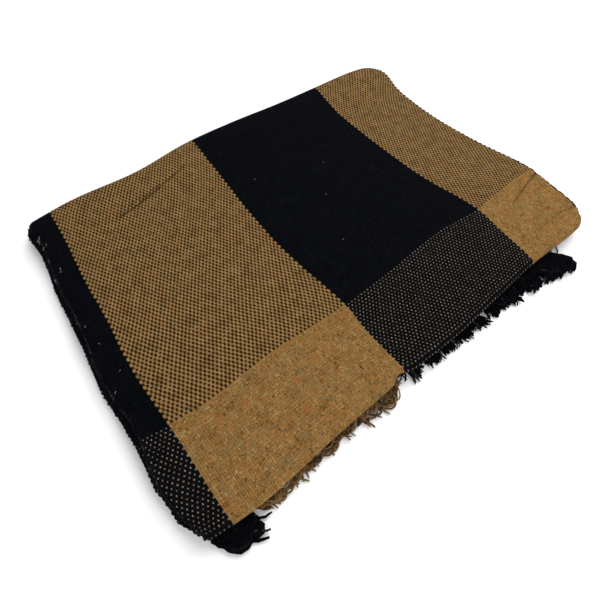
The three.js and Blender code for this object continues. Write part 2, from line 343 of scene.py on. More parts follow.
# Lint and loose threads on the top level, and dark yarns that show past the folded edge: where each
# starts, its length, its heading and bend in radians, and its width
LINT = table(
    "u q length heading bend width",
    (-1, 411, 7, 0.4, 1.2, 0.7),
    (1, 407, 6, 2.4, -1.0, 0.6),
    (-2, 403, 8, 1.3, 0.9, 0.5),
    (4, 398, 5, 0.2, 2.0, 0.5),
    (-1, 393, 6, 1.8, -1.6, 0.6),
    (10, 353, 5, 0.9, 1.0, 0.7),
    (12, 350, 4, 2.6, 0.6, 0.5),
    (-1, 340, 5, 1.5, 0.4, 0.6),
    (5, 261, 3, 0.6, 1.1, 0.7),
    (14, 232, 3, 2.0, 0.4, 0.6),
    (4, 168, 4, 1.2, -0.8, 0.6),
    (20, 190, 3, 0.3, 0.7, 0.5),
    (300, 330, 3, 0.5, 1.0, 0.6),
    (372, 250, 3, 1.9, 0.8, 0.6),
    (410, 300, 2, 1.0, 0.5, 0.6),
    (334, 180, 3, 2.7, 0.9, 0.5),
)
THREADS = table(
    "u q length heading bend width",
    (220, 407, 34, 3.2, 0.1, 0.8),
    (182, 405, 40, 3.3, 0.2, 0.7),
    (140, 399, 22, 3.5, 0.1, 0.7),
    (632.6, 140, 12, -1.7, 0.2, 1.6),
    (632, 127, 13, -1.5, -0.2, 1.9),
    (632.6, 113, 12, -1.6, 0.2, 1.8),
    (632, 103, 10, -1.4, -0.4, 2.0),
    (632.6, 80, 9, -1.7, 0.3, 1.8),
    (632, 70, 13, -1.5, -0.1, 2.0),
    (632.6, 56, 12, -1.6, 0.2, 1.6),
    (632, 43, 13, -1.5, -0.2, 1.9),
    (632.6, 29, 12, -1.6, 0.1, 2.3),
)
THREAD_LIFT = 0.35
THREAD_TAPER = 0.5

# Weave: how far yarns bulge round each other, in parts of their pitch, the weft dots' narrowness
# across and along, their unevenness on tan and on black, and how round the yarns are
YARN_BULGE = 0.36
DOT_NARROWNESS = (1.0, 1.3)
DOT_UNEVENNESS = (0.7, 0.2)
DOT_SOFTNESS = 0.28
RIB_POWER = 0.6
CROWN_POWER = 0.25
CLOTH_BUMP = 0.8
FIBRES_ON_CLOTH = 0.25

# Shade in furrows, in gaps between tan and between black yarns, and in creases, where it fades out
# at a share of the crease's width
FULL_SHADE = (0, 0, 0)
FURROW_SHADE = 0.42
GAP_SHADE = (0.55, 0.95)
CREASE_SHADE_WIDTH = 0.55
CREASE_SHADE_FADE = (1.0, 0.1)

# Noise, in turns per metre, and the step that keeps neighbouring yarns unlike
WAVER_SCALE = 45.0
DRIFT_SCALE = 25.0
SLUB_SCALE = 140.0
FIBRE_SCALE = 900.0
CLOUD_SCALE = 60.0
HUE_CLOUD_SCALE = 102.0
GRAIN_SCALE = 620.0
PATCH_SCALE = 75.0
PATCH_HUE_SCALE = 45.0
SELVEDGE_LINT_AND_HIGHLIGHT_SCALE = 260.0
YARN_APART = 0.31
YARN_SHIFT = 10.0

# Heathered yarn: the colour of each of its tones, how much each noise counts, and from where to where
# each tone takes over
TAN_TONES = {
    "Yarn": "tan_yarn", "Deep": "tan_deep", "Pale": "tan_pale", "Warm": "tan_warm",
    "Green": "tan_green",
}
BLACK_TONES = {
    "Yarn": "black_yarn", "Deep": "black_deep", "Pale": "black_pale", "Warm": "black_yarn",
    "Green": "black_yarn",
}
TONE_SHARES = {"slubs": 0.35, "clouds": 0.15, "grain": 0.42, "chance": 0.08}
TONE_STEPS = {"Deep": (0.5, 0.37), "Pale": (0.5, 0.62)}
HUE_STEPS = {"Warm": (0.5, 0.68), "Green": (0.48, 0.34)}
WEFT_LIGHTER = 0.55

# Tan warp over black weft: its own colour, its dull and warm patches, and dots that swell in them
NET_SHARE = 0.6
NET_DULL_STEP = (0.48, 0.66)
NET_WARM_STEP = (0.52, 0.66)
PATCH_SWELL = 1.2
WARM_BLACK_SHARE = 0.006

# Loose yarn: relief of its plies, a twist's length in metres, brown and pale ends, and the selvedge's
# lint with painted highlight
FIBRES_ON_YARN = 0.4
YARN_BUMP = 0.6
PLY_RELIEF = 0.0004
PLY_TURN = 0.004
# Tan ends are mixed towards brown: partly the fringe's brown-black mix of ends, partly painted shade
# among its strands
END_BROWN_STEP = (0.2, 0.7)
END_BROWN_SHARE = 0.8
# Pale ends: lint among tan ends, and painted highlights among black ends
PALE_ENDS_FROM = 0.965
PALE_END_AND_HIGHLIGHT_SHARE = (0.8, 0.12)
# The selvedge's grey patches: partly lint, partly a painted highlight along the selvedge's ridge
SELVEDGE_LINT_AND_HIGHLIGHT_STEP = (0.54, 0.8)
SELVEDGE_LINT_AND_HIGHLIGHT_SHARE = 0.8

# Cotton: dull, with a faint sheen of fibres
COTTON = {
    "Roughness": 0.95, "Specular_IOR_Level": 0.02, "Sheen_Weight": 0.012, "Sheen_Roughness": 0.3,
}

# Stage, in metres
KEY_LIGHT = {"place": (1.0, 0.5, 1.6), "size": 1.8}
FILL_LIGHT = {"place": (-0.3, -1.5, 0.9), "size": 1.4}

# Names that more than one piece uses. Each fringe has its name, the node that it stands for, whether it
# is on the cloth's first end, and the seed of its strands
FLAT_MAP = "flat_cloth"
STRAND_MAP = "strand"
FLOOR_NAME = "floor"
FRINGES = (
    ("fringe_on_third_level", "fringe_upper", True, 41),
    ("fringe_on_fourth_level", "fringe_lower", False, 42),
)

# Creases in the pile. Each is a trough from one place (p, q) to another, and its shade says how dark a
# line shows in its bottom. What lies below CREASE_LOW stays, and above CREASE_HIGH it sinks by all of
# the depth. It is shallower at its ends: CREASE_TAPER is the part of half a sine wave that it follows.
CREASES = table(
    "p q end_p end_q width depth shade",
    (206, 236, 172, 160, 7, 0.9, 0),
    (226, 409, 172, 400, 4.5, 1.3, 0.35),
    (176, 400, 108, 384, 4.5, 1.3, 0.75),
    (634, 99, 596, 91, 5, 2.6, 0.55),
    (598, 91, 558, 82, 5, 2.4, 0.45),
    (634, 20, 604, 27, 5, 2.2, 0.4),
    (606, 27, 570, 28, 6, 1.4, 0.2),
    (6, 80, -1, 14, 5, 2.6, 0),
    (-3, 72, -6, 12, 7, 3.2, 0),
    (262, 4, 258, 34, 6, 1.4, 0),
)
CREASE_LOW = 6.0
CREASE_HIGH = 25.0
CREASE_TAPER = (0.15, 0.85)


def level_height(level):
    """Height of the middle of a level, level 1 on top."""
    return LOWEST_LEVEL + (LEVEL_COUNT - level) * LEVEL_PITCH


def way_lengths():
    """Where each part of the way starts and ends, along the middle of the double sheet."""
    start = 0.0
    for part in WAY:
        radius = abs(level_height(part["from"]) - level_height(part["to"])) / 2
        length = RUN_LENGTH if part["from"] == part["to"] else math.pi * radius
        yield start, start + length, radius
        start += length


WAY_PARTS = [dict(part, start=a, end=b, radius=r) for part, (a, b, r) in zip(WAY, way_lengths())]
CLOTH_LENGTH = WAY_PARTS[-1]["end"]
NEAR_FOLD_MIDDLE = (WAY_PARTS[3]["start"] + WAY_PARTS[3]["end"]) / 2
TOP_LEVEL_START = WAY_PARTS[4]["start"]


def ease(t):
    """A soft step from 0 to 1."""
    s = np.clip(t, 0, 1)
    return s * s * (3 - 2 * s)


def through_rows(at, values, where):
    """A curve through a table's rows, level past its ends. values may differ from point to point."""
    at = np.asarray(at, float)
    where = np.clip(where, at[0], at[-1])
    values = np.asarray(values, float)
    if values.ndim == 1:
        values = np.broadcast_to(values.reshape((-1,) + (1,) * where.ndim), (len(at),) + where.shape)
    last = len(at) - 1
    i = np.clip(np.searchsorted(at, where, side="right") - 1, 0, last - 1)

    def value(k):
        return np.take_along_axis(values, k[None], axis=0)[0]

    def slope(k):
        low = np.maximum(k - 1, 0)
        high = np.minimum(k + 1, last)
        return (value(high) - value(low)) / (at[high] - at[low])

    span = at[i + 1] - at[i]
    t = (where - at[i]) / span
    keep = (1 + 2 * t) * (1 - t) ** 2
    leave = t * (1 - t) ** 2 * span
    arrive = t * t * (t - 1) * span
    return keep * value(i) + (1 - keep) * value(i + 1) + leave * slope(i) + arrive * slope(i + 1)


def column(rows, by, name, where):
    """A column of a table, read at places of another column."""
    return through_rows(rows[by], rows[name], where)


def across(u):
    """Where a flat place across lies on the double sheet: p, height, its face's way, and its half."""
    is_last = u > HALF_WIDTH
    flat_p = np.where(is_last, CLOTH_WIDTH - u, u)
    turn = np.clip((u - FOLD_START) / SHEET_RISE, 0, math.pi)
    is_fold = (turn > 0) & (turn < math.pi)
    p = np.where(is_fold, FOLD_START + SHEET_RISE * np.sin(turn), flat_p)
    return p, SHEET_RISE * np.cos(turn), np.sin(turn) * is_fold, np.cos(turn), is_last


def along(v):
    """Where a flat place along lies on the pile: q, height, its face's way, and each level's share."""
    q, z, out_q, out_z = (np.zeros_like(v) for _ in range(4))
    shares = np.zeros((LEVEL_COUNT,) + v.shape)
    for part in WAY_PARTS:
        is_first, is_last = part is WAY_PARTS[0], part is WAY_PARTS[-1]
        here = (v >= part["start"]) | is_first
        here &= (v < part["end"]) | is_last
        done = v - part["start"]
        low, high = level_height(part["from"]), level_height(part["to"])
        if part["from"] == part["to"]:
            sign = -1 if part["is_back"] else 1
            q = np.where(here, RUN_LENGTH - done if part["is_back"] else done, q)
            z = np.where(here, low, z)
            out_q = np.where(here, 0, out_q)
            out_z = np.where(here, sign, out_z)
            shares[part["from"] - 1] = np.where(here, 1, shares[part["from"] - 1])
            continue
        turn = done / part["radius"]
        start = 1 if low > high else -1
        look = 1 if start * part["side"] > 0 else -1
        base = RUN_LENGTH if part["side"] > 0 else 0
        away_q = part["side"] * np.sin(turn)
        away_z = start * np.cos(turn)
        q = np.where(here, base + part["radius"] * away_q, q)
        z = np.where(here, (low + high) / 2 + part["radius"] * away_z, z)
        out_q = np.where(here, look * away_q, out_q)
        out_z = np.where(here, look * away_z, out_z)
        soft = ease(turn / math.pi)
        shares[part["from"] - 1] = np.where(here, 1 - soft, shares[part["from"] - 1])
        shares[part["to"] - 1] = np.where(here, soft, shares[part["to"] - 1])
    return q, z, out_q, out_z, shares


def crease_depth(p, q):
    """How far the creases lower the top of the pile at a place."""
    sunk = np.zeros_like(p)
    for start_p, start_q, end_p, end_q, width, depth, _ in zip(*CREASES.values()):
        way_p, way_q = end_p - start_p, end_q - start_q
        share = ((p - start_p) * way_p + (q - start_q) * way_q) / (way_p * way_p + way_q * way_q)
        share = np.clip(share, 0, 1)
        away = np.hypot(p - start_p - share * way_p, q - start_q - share * way_q)
        taper = np.sin(math.pi * (CREASE_TAPER[0] + (CREASE_TAPER[1] - CREASE_TAPER[0]) * share))
        sunk += depth * taper * np.exp(-((away / width) ** 2))
    return sunk


def settle(p, q, z, is_last_half, shares):
    """Moves a straight place on the bundle to where it lies, in metres in the frame."""
    in_q = np.clip(q, 0, RUN_LENGTH)
    in_p = np.clip(p, 0, HALF_WIDTH)
    xs = np.stack([column(WARP_LINES, "q", name, in_q) for name in list(WARP_LINES)[1:]])
    ys = np.stack([column(WEFT_LINES, "p", name, in_p) for name in list(WEFT_LINES)[1:]])
    x = through_rows(WARP_BORDERS, xs, in_p) + (p - in_p)
    y = through_rows(WEFT_BORDERS, ys, in_q) + (q - in_q)

    near_selvedge = ease(1 - in_p / EDGE_REACH)
    near_folded = ease(1 - (HALF_WIDTH - in_p) / EDGE_REACH)
    half_turn = np.where(is_last_half, LAST_HALF_TURN, 0)
    loose = column(LOOSENESS, "q", "share", in_q)
    for level in range(LEVEL_COUNT):
        last, first = LEVELS["last_selvedge"][level], LEVELS["first_selvedge"][level]
        stand_out = np.where(is_last_half, last, first)
        turns = in_q / EDGE_WAVE_LENGTH + LEVELS["wave"][level] + half_turn
        wave = EDGE_WAVE_HEIGHT * np.sin(2 * math.pi * turns)
        x = x - shares[level] * near_selvedge * (loose * stand_out + wave)
        x = x + shares[level] * near_folded * LEVELS["folded_edge"][level]

    at_end = ease(1 - in_q / END_REACH)
    y = y + at_end * shares[2] * column(FRINGED_ENDS, "p", "third", in_p)
    y = y + at_end * shares[3] * column(FRINGED_ENDS, "p", "fourth", in_p)
    x = x + at_end * (shares[2] + shares[3]) * column(FRINGED_ENDS, "p", "right", in_p)

    for corner in CORNERS:
        past_p = np.maximum(corner["radius"] - np.abs(corner["p"] - in_p), 0)
        past_q = np.maximum(corner["radius"] - np.abs(corner["q"] - in_q), 0)
        drawn = 1 - np.maximum(past_p, past_q) / np.maximum(np.hypot(past_p, past_q), TINY)
        drawn = np.where((past_p > 0) & (past_q > 0), drawn, 0)
        x = x - (1 if corner["p"] > 0 else -1) * past_p * drawn
        y = y - (1 if corner["q"] > 0 else -1) * past_q * drawn
    beside = (in_p - NOTCH["p"]) / NOTCH["half_width"]
    y = y + NOTCH["depth"] * np.exp(-beside * beside) * ease(1 - in_q / NOTCH["reach"])

    x = x + column(SWEEP, "p", "right", in_p) * ease((q - SWEEP_START) / (SWEEP_FULL - SWEEP_START))
    rise = column(FULLNESS_ALONG, "q", "rise", q) * column(FULLNESS_ACROSS, "p", "rise", in_p)
    z = z - crease_depth(in_p, in_q) * ease((z - CREASE_LOW) / (CREASE_HIGH - CREASE_LOW))
    return np.stack([x - BUNDLE_CENTRE[0], y - BUNDLE_CENTRE[1], z * rise], axis=-1) * MM


def on_cloth(u, v, height):
    """Places in the frame of flat places (u, v), at a height over the middle of the sheet."""
    u, v, height = np.broadcast_arrays(np.asarray(u, float), v, height)
    p, up, look_p, look_up, is_last_half = across(u)
    q, z, out_q, out_z, shares = along(v)
    lift = up + look_up * height
    return settle(p + look_p * height, q + out_q * lift, z + out_z * lift, is_last_half, shares)


# Meshes

def new_piece(name, points, faces, maps, material):
    """A mesh piece that rides on the blanket's body. maps holds each UV map's places by its name."""
    mesh = bpy.data.meshes.new(name)
    mesh.from_pydata(points.reshape(-1, 3), [], faces)
    corners = np.empty(len(mesh.loops), np.int32)
    mesh.loops.foreach_get("vertex_index", corners)
    for map_name, places in maps.items():
        layer = mesh.uv_layers.new(name=map_name)
        layer.data.foreach_set("uv", places.reshape(-1, 2)[corners].astype(np.float32).ravel())
    mesh.materials.append(material)
    piece = bpy.data.objects.new(name, mesh)
    bpy.context.scene.collection.objects.link(piece)
    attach(piece, BODY)
    return piece


def merge_points(mesh, distance):
    """Joins points that coincide, such as those of a sheet's closed ends."""
    work = bmesh.new()
    work.from_mesh(mesh)
    bmesh.ops.remove_doubles(work, verts=work.verts, dist=distance)
    bmesh.ops.dissolve_degenerate(work, edges=work.edges, dist=distance)
    work.to_mesh(mesh)
    work.free()
    mesh.shade_smooth()


def ring_faces(rows, columns):
    """Four-sided faces between neighbouring rings of points."""
    row, col = np.meshgrid(np.arange(rows - 1), np.arange(columns), indexing="ij")
    after = (col + 1) % columns
    low, high = row * columns, (row + 1) * columns
    return np.stack([c.ravel() for c in (low + col, low + after, high + after, high + col)], axis=1)


def places_across():
    """Flat places across, closer on the first half, which lies on top."""
    fold_end = CLOTH_WIDTH - FOLD_START
    return np.concatenate([
        np.linspace(0, FOLD_START, STEPS_ACROSS["first_half"], endpoint=False),
        np.linspace(FOLD_START, fold_end, STEPS_ACROSS["fold"], endpoint=False),
        np.linspace(fold_end, CLOTH_WIDTH, STEPS_ACROSS["last_half"] + 1),
    ])


def places_along():
    """Flat places along, closer on the top level and around the folds."""
    places = []
    for part in WAY_PARTS:
        if part["from"] == part["to"]:
            steps = STEPS_ALONG["top" if part["from"] == 1 else "hidden"]
        else:
            steps = STEPS_ALONG["small_fold" if part["radius"] < LEVEL_PITCH else "large_fold"]
        places.append(np.linspace(part["start"], part["end"], steps, endpoint=False))
    return np.concatenate(places + [[CLOTH_LENGTH]])


def make_cloth(material):
    """The woven sheet: rings of points over both faces and round selvedges, closed at both ends."""
    u, v = places_across(), places_along()
    half = SHEET / 2
    turns = np.linspace(0, math.pi, EDGE_STEPS + 2)[1:-1]
    ring_u = np.concatenate([u, CLOTH_WIDTH + half * np.sin(turns), u[::-1], -half * np.sin(turns)])
    face = np.concatenate([np.ones(len(u)), np.cos(turns), -np.ones(len(u)), -np.cos(turns)])
    closing = np.linspace(0, math.pi / 2, EDGE_STEPS + 1)[1:]
    all_v = np.concatenate([-half * np.sin(closing)[::-1], v, CLOTH_LENGTH + half * np.sin(closing)])
    thin = np.concatenate([np.cos(closing)[::-1], np.ones(len(v)), np.cos(closing)])
    points = on_cloth(ring_u[None, :], all_v[:, None], half * face[None, :] * thin[:, None])
    flat = np.stack(np.broadcast_arrays(ring_u[None, :], all_v[:, None]), axis=-1) * MM
    faces = ring_faces(len(all_v), len(ring_u))
    piece = new_piece("blanket", points, faces.tolist(), {FLAT_MAP: flat}, material)
    merge_points(piece.data, MERGE_DISTANCE)
    return piece


def tubes(paths, radii, roots):
    """Points, faces and maps of round strands. paths is strands by steps by 3, in metres."""
    count, steps = paths.shape[:2]
    ahead = np.gradient(paths, axis=1)
    ahead /= np.maximum(np.linalg.norm(ahead, axis=-1, keepdims=True), TINY)
    side = np.cross(ahead, OFF_STRANDS)
    side /= np.maximum(np.linalg.norm(side, axis=-1, keepdims=True), TINY)
    up = np.cross(side, ahead)
    turn = np.linspace(0, 2 * math.pi, STRAND_SIDES, endpoint=False)
    around = side[:, :, None] * np.cos(turn)[:, None] + up[:, :, None] * np.sin(turn)[:, None]
    points = paths[:, :, None] + around * radii[:, :, None, None]
    one = ring_faces(steps, STRAND_SIDES)
    first_cap = np.arange(STRAND_SIDES)[::-1]
    last_cap = first_cap[::-1] + (steps - 1) * STRAND_SIDES
    offsets = np.arange(count) * steps * STRAND_SIDES
    faces = (one[None] + offsets[:, None, None]).reshape(-1, 4).tolist()
    faces += (first_cap[None] + offsets[:, None]).tolist()
    faces += (last_cap[None] + offsets[:, None]).tolist()
    moves = np.diff(paths, axis=1, prepend=paths[:, :1])
    travelled = np.cumsum(np.linalg.norm(moves, axis=-1), axis=1)
    strand = np.stack(np.broadcast_arrays(turn / (2 * math.pi), travelled[:, :, None]), axis=-1)
    flat = np.broadcast_to(roots[:, None, None], points.shape[:3] + (2,))
    return points, faces, {FLAT_MAP: flat * MM, STRAND_MAP: strand}


def new_strands(name, paths, radii, roots, material):
    """A piece of round strands, none of which dips into the floor."""
    paths[..., 2] = np.maximum(paths[..., 2], radii)
    points, faces, maps = tubes(paths, radii, roots)
    return new_piece(name, points, faces, maps, material)


def habit(name, p):
    """How the tassels at a place along the near fold lie."""
    return np.interp(p, TASSEL_HABITS["p"], TASSEL_HABITS[name])


def make_fringe(name, is_first_end, random, sizes, material):
    """One fringed end: warp yarns that leave the cloth in tassels, curl, loop and lie as they fall."""
    per_tassel = STRANDS_PER_TASSEL
    count = TASSEL_COUNT * per_tassel
    pitch = CLOTH_WIDTH / TASSEL_COUNT

    def tassels(spread):
        return np.repeat(random.normal(0, spread, TASSEL_COUNT), per_tassel)[:, None]

    def strands(spread):
        return random.normal(0, spread, count)[:, None]

    tassel = np.repeat(np.arange(TASSEL_COUNT), per_tassel)[:, None]
    middle = (tassel + 0.5) * pitch + tassels(TASSEL_SHIFT)
    share = np.tile((np.arange(per_tassel) + 0.5) / per_tassel - 0.5, TASSEL_COUNT)[:, None]
    root = (tassel + 0.5) * pitch + share * (pitch - TASSEL_GAP)
    to_right = np.where(middle < HALF_WIDTH, 1.0, -1.0)
    p = np.where(middle < HALF_WIDTH, middle, CLOTH_WIDTH - middle)

    stray = habit("stray", p)
    root_p = np.where(root < HALF_WIDTH, root, CLOTH_WIDTH - root)
    length = sizes.fringe_length / MM * habit("length", root_p) * (1 + stray * tassels(LENGTH_SPREAD))
    length = length * (1 - stray * random.uniform(*SHORTER, (count, 1)))
    is_loop = random.uniform(0, 1, (count, 1)) < habit("loops", p)
    length = length * np.where(is_loop | (habit("loops", p) < 0.5), 1, CUT_END_SHARE)
    side = np.where(random.uniform(0, 1, (count, 1)) < 0.5, -1.0, 1.0)
    curl = habit("curl", p) * (1 + stray * random.uniform(*CURL_RANGE, (count, 1)))
    curl = curl + stray * (tassels(CURL_SPREAD[0]) + strands(CURL_SPREAD[1]))
    loop_turn = side * LOOP_TURN * random.uniform(*LOOP_TURN_RANGE, (count, 1))
    turn = np.where(is_loop, loop_turn, -curl)
    s = np.linspace(0, 1, STRAND_STEPS)[None, :]
    heading = stray * (tassels(HEADING_SPREAD[0]) + strands(HEADING_SPREAD[1]))
    turned = np.where(is_loop, ease((s - LOOP_FROM) / (1 - LOOP_FROM)), s ** CURL_POWER)
    heading = heading + turn * turned
    step = length / (STRAND_STEPS - 1)
    done = length * s
    out = np.cumsum(np.cos(heading) * step, axis=1) - step - ROOT_DEPTH
    aside = np.cumsum(np.sin(heading) * step, axis=1)
    closing = habit("closing", p) * ease(CLOSING_PACE * s)
    phase = random.uniform(0, 2 * math.pi, (count, 1))
    crimp = np.sin(2 * math.pi * done / CRIMP_LENGTH + phase)
    crimp = CRIMP_HEIGHT * ease(done / CRIMP_GROWTH) * crimp
    u = root + (middle - root) * closing + to_right * aside + crimp
    v = -out if is_first_end else CLOTH_LENGTH + out
    paths = on_cloth(u, v, np.zeros_like(u))

    radius = sizes.strand_width / 2 * habit("thickness", p)
    radius = radius * random.uniform(*THICKNESS_RANGE, (count, 1))
    radii = radius * (1 - TIP_TAPER * ease((s - TIP_FROM) / (1 - TIP_FROM)))
    bed = radius * random.uniform(*BED_RANGE, (count, 1)) * (1 - BED_SINK * s)
    wave = BED_WAVE * ease(done / BED_WAVE_GROWTH) * np.sin(done / BED_WAVE_LENGTH + 2 * phase)
    bed = bed + MM * (crimp + wave)
    drop = ease((done - DROP_FROM) / DROP_LENGTH)
    paths[..., 2] = paths[..., 2] * (1 - drop) + bed * drop
    roots = np.stack([root[:, 0], np.full(count, 0 if is_first_end else CLOTH_LENGTH)], axis=-1)
    return new_strands(name, paths, radii, roots, material)


def row_along(random, pitch, shift):
    """Places along the whole cloth, a pitch apart and each a little off."""
    count = int(CLOTH_LENGTH / pitch)
    return (np.arange(count) + 0.5)[:, None] * pitch + random.normal(0, shift, (count, 1))


def make_selvedge(random, sizes, material):
    """Turns of the weft around the outermost warp yarn, along both selvedges."""
    turn = np.linspace(0, math.pi, STRAND_STEPS)[None, :]
    runs = []
    for edge, way in ((0.0, -1), (CLOTH_WIDTH, 1)):
        start = row_along(random, SELVEDGE_PITCH, SELVEDGE_SHIFT)
        reach = random.uniform(*SELVEDGE_REACH, start.shape)
        u = edge + way * (reach * np.sin(turn) - SELVEDGE_ROOT)
        v = start - SELVEDGE_SPAN * SELVEDGE_PITCH * np.cos(turn)
        height = random.normal(0, SELVEDGE_SPREAD, start.shape)
        root = np.stack([np.full(len(start), edge), start[:, 0]], axis=-1)
        runs.append((on_cloth(u, v, height), root))
    paths, roots = (np.concatenate(parts) for parts in zip(*runs))
    radii = np.full(paths.shape[:2], sizes.strand_width / 2 * SELVEDGE_WIDTH)
    new_strands("selvedge_turns", paths, radii, roots, material)


def make_cords(random, material):
    """The thick outermost warp yarn along each selvedge."""
    v = np.linspace(0, CLOTH_LENGTH, CORD_STEPS)[None, :]
    edges = np.array([[CORD_INSET], [CLOTH_WIDTH - CORD_INSET]])
    u = edges + CORD_WANDER["aside"] * np.sin(v / CORD_WANDER["aside_length"] + edges)
    height = CORD_WANDER["height"] + CORD_WANDER["rise"] * np.sin(v / CORD_WANDER["rise_length"] + edges)
    paths = on_cloth(u, v, height)
    radii = CORD_THICKNESS / 2 * MM * random.uniform(*THICKNESS_RANGE, paths.shape[:2])
    roots = np.stack([edges[:, 0], edges[:, 0] * 0], axis=-1)
    new_strands("selvedge_cords", paths, radii, roots, material)


def make_floats(random, sizes, material):
    """Floats of the weft that stand out around the folded edge."""
    v = row_along(random, FLOAT_PITCH, FLOAT_SHIFT)
    turn = np.linspace(-1, 1, FLOAT_STEPS)[None, :]
    u = HALF_WIDTH + FLOAT_REACH * turn + random.normal(0, FLOAT_SPREAD, v.shape)
    rise = random.uniform(*FLOAT_RISE, v.shape) * np.cos(turn * math.pi / 2)
    paths = on_cloth(u, v, SHEET / 2 - FLOAT_SUNK + rise)
    radii = np.full(paths.shape[:2], sizes.strand_width / 2 * FLOAT_WIDTH)
    roots = np.stack([np.full(len(v), HALF_WIDTH), v[:, 0]], axis=-1)
    new_strands("folded_edge_floats", paths, radii, roots, material)


def make_threads(name, rows, material):
    """Short loose threads that lie on the top level or past its folded edge."""
    s = np.linspace(0, 1, STRAND_STEPS)[None, :]
    given = {key: values[:, None] for key, values in rows.items()}
    heading = given["heading"] + given["bend"] * s
    step = given["length"] / (STRAND_STEPS - 1)
    u = given["u"] + np.cumsum(np.cos(heading) * step, axis=1)
    v = TOP_LEVEL_START + given["q"] + np.cumsum(np.sin(heading) * step, axis=1)
    radii = given["width"] / 2 * MM * (1 - THREAD_TAPER * np.abs(2 * s - 1))
    paths = on_cloth(u, v, SHEET / 2 + THREAD_LIFT * np.sin(math.pi * s))
    roots = np.stack([rows["u"], rows["q"]], axis=-1)
    new_strands(name, paths, radii, roots, material)


# Materials

FLOAT, VECTOR, COLOUR = "NodeSocketFloat", "NodeSocketVector", "NodeSocketColor"


class Value:
    """An output of a node. Arithmetic with it adds the nodes that do the same."""

    def __init__(self, tree, socket):
        self.tree, self.socket = tree, socket

    def maths(self, operation, *others):
        return node(self.tree, "ShaderNodeMath", self, *others, operation=operation)

    def vectors(self, operation, other=None, scale=None, out=0):
        return node(
            self.tree, "ShaderNodeVectorMath", self, other, None, scale, out=out, operation=operation)

    def __add__(self, other):
        return self.maths("ADD", other)

    def __sub__(self, other):
        return self.maths("SUBTRACT", other)

    def __rsub__(self, other):
        return node(self.tree, "ShaderNodeMath", other, self, operation="SUBTRACT")

    def __mul__(self, other):
        return self.maths("MULTIPLY", other)

    __rmul__ = __mul__

    def __truediv__(self, other):
        return self.maths("DIVIDE", other)


def fill(socket, value):
    """Links a value to a socket, or sets the socket's own value. A colour may leave out its alpha."""
    if isinstance(value, Value):
        value.tree.links.new(value.socket, socket)
    elif value is not None:
        socket.default_value = (*value, 1)[:4] if socket.type == "RGBA" else value


def give(made, **values):
    """Fills a node's inputs by name. A name's spaces are written as _."""
    for name, value in values.items():
        fill(made.inputs[name.replace("_", " ")], value)


def outputs_of(tree, made):
    """A node's outputs by name."""
    return {s.name: Value(tree, s) for s in made.outputs if s.name}


def node(tree, kind, *inputs, out=0, **settings):
    """Adds a node with its settings, fills its inputs in order and gives one of its outputs."""
    made = tree.nodes.new(kind)
    for name, value in settings.items():
        setattr(made, name, value)
    for socket, value in zip(made.inputs, inputs):
        fill(socket, value)
    return Value(tree, made.outputs[out])


def parts_of(vector):
    """A vector's X, Y and Z."""
    return outputs_of(vector.tree, node(vector.tree, "ShaderNodeSeparateXYZ", vector).socket.node)


def mix(share, first, second):
    """A colour between two colours."""
    made = share.tree.nodes.new("ShaderNodeMix")
    made.data_type = "RGBA"
    for name, value in (("Factor_Float", share), ("A_Color", first), ("B_Color", second)):
        fill(next(s for s in made.inputs if s.identifier == name), value)
    return Value(share.tree, next(s for s in made.outputs if s.identifier == "Result_Color"))


def blend(share, first, second):
    """A number between two numbers."""
    return share * (second - first) + first


def soft_step(value, low, high):
    """A soft step from 0 to 1 as a value goes from low to high."""
    return node(
        value.tree, "ShaderNodeMapRange", value, low, high, 0.0, 1.0, interpolation_type="SMOOTHSTEP")


def noise(at, scale, roughness, detail=2.0, out=0, dimensions="2D"):
    """Noise at a place."""
    return node(
        at.tree, "ShaderNodeTexNoise", at, None, scale, detail, roughness, out=out,
        noise_dimensions=dimensions)


def group(name, inputs, outputs):
    """A new node group. Each input is given its kind, or its default if it is a number."""
    tree = bpy.data.node_groups.new(name, "ShaderNodeTree")
    for socket_name, kind in inputs.items():
        is_number = not isinstance(kind, str)
        socket = tree.interface.new_socket(
            socket_name, in_out="INPUT", socket_type=FLOAT if is_number else kind)
        if is_number:
            socket.default_value = kind
    for socket_name, kind in outputs.items():
        tree.interface.new_socket(socket_name, in_out="OUTPUT", socket_type=kind)
    start = tree.nodes.new("NodeGroupInput")
    end = tree.nodes.new("NodeGroupOutput")
    return tree, outputs_of(tree, start), end


def place(tree, made_group, **inputs):
    """Places a node group and gives its outputs by name."""
    made = tree.nodes.new("ShaderNodeGroup")
    made.node_tree = made_group
    give(made, **inputs)
    return outputs_of(tree, made)


def stripes_group():
    """1 in the dark stripes, which lie the same way round on both sides of a middle line."""
    names = ("Place", "Middle", "First Border", "Second Border", "Third Border")
    tree, given, end = group("Mirrored stripes", dict.fromkeys(names, 0.0), {"Dark": FLOAT})
    away = (given["Place"] - given["Middle"]).maths("ABSOLUTE")
    inner = away.maths("GREATER_THAN", given["First Border"])
    outer = away.maths("LESS_THAN", given["Second Border"])
    edge = away.maths("GREATER_THAN", given["Third Border"])
    give(end, Dark=(inner * outer).maths("MAXIMUM", edge))
    return tree


